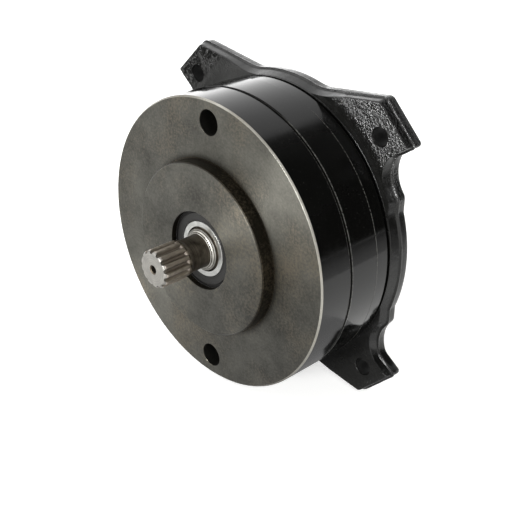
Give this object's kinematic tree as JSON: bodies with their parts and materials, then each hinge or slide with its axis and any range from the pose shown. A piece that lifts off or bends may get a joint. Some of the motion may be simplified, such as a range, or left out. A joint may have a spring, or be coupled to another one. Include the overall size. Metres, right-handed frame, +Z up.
{
  "type": "electromagnetic motor brake",
  "caption": "Spring-applied electromagnetic brake between a motor and a driven machine, with pilot boss, splined shaft and four-eared rear casting.",
  "frame": {"origin": "centre of the pilot boss, in the plane of the front mounting face", "axes": "-Y along the shaft out of the pilot boss towards the driven machine, +Y towards the motor, +Z up through the upper bolt hole"},
  "size_m": [0.1808, 0.1065, 0.1826],
  "materials": {
    "turned_iron": "face turned, unpainted, oiled",
    "black_paint": "gloss black enamel over iron",
    "bearing_steel": "ground bearing steel",
    "seal_rubber": "moulded black rubber",
    "spring_steel": "oiled spring steel",
    "bobbin_plastic": "moulded nylon",
    "enamelled_copper": "enamelled copper wire",
    "bright_steel": "ground steel",
    "black_screw_steel": "blackened steel",
    "shaft_steel": "turned and hobbed alloy steel",
    "polished_ball_steel": "polished",
    "pressed_brass": "pressed brass",
    "friction_lining": "moulded friction material"
  },
  "bodies": {
    "housing": {"front_cap": "turned_iron", "housing_ring": "black_paint", "magnet_housing": "black_paint", "front_bearing_outer": "bearing_steel", "front_bearing_seals": "seal_rubber", "front_bearing_circlip": "spring_steel", "rear_bearing_outer": "bearing_steel", "rear_bearing_seal": "seal_rubber", "rear_bearing_circlip": "spring_steel", "coil_bobbin": "bobbin_plastic", "coil_winding": "enamelled_copper", "springs": "spring_steel", "torque_pins": "bright_steel", "housing_screws": "black_screw_steel", "dowel_pins": "bright_steel", "front_o_ring": "seal_rubber", "rear_o_ring": "seal_rubber", "lead_grommet": "seal_rubber"},
    "shaft": {"shaft": "shaft_steel", "hub_key": "bright_steel", "drive_hub": "bright_steel", "hub_circlip": "spring_steel", "front_bearing_inner": "bearing_steel", "rear_bearing_inner": "bearing_steel"},
    "front_cage": {"front_balls": "polished_ball_steel", "front_cage": "pressed_brass"},
    "rear_cage": {"rear_balls": "polished_ball_steel", "rear_cage": "pressed_brass"},
    "friction_disc": {"disc_core": "bright_steel", "front_lining": "friction_lining", "rear_lining": "friction_lining"},
    "armature": {"armature_plate": "bright_steel"}
  },
  "joints": [
    {"name": "shaft_spin", "type": "hinge", "parent": "housing", "child": "shaft", "pos_m": [0, 0, 0], "axis": [0, 1, 0], "continuous": true},
    {"name": "armature_release", "type": "slide", "parent": "housing", "child": "armature", "axis": [0, 1, 0], "range_m": [0, 0.0005], "stiffness_N_per_m": 3000, "springref_m": -0.01, "deforming": ["springs"]},
    {"name": "disc_float", "type": "slide", "parent": "shaft", "child": "friction_disc", "axis": [0, 1, 0], "range_m": [0, 0.00025]},
    {"name": "front_cage_spin", "type": "hinge", "parent": "housing", "child": "front_cage", "pos_m": [0, 0.0022, 0], "axis": [0, 1, 0], "continuous": true},
    {"name": "rear_cage_spin", "type": "hinge", "parent": "housing", "child": "rear_cage", "pos_m": [0, 0.0485, 0], "axis": [0, 1, 0], "continuous": true}
  ],
  "couplings": [
    {"joint": "disc_float", "follows": "armature_release", "ratio": 0.5},
    {"joint": "front_cage_spin", "follows": "shaft_spin", "ratio": 0.397},
    {"joint": "rear_cage_spin", "follows": "shaft_spin", "ratio": 0.435}
  ]
}
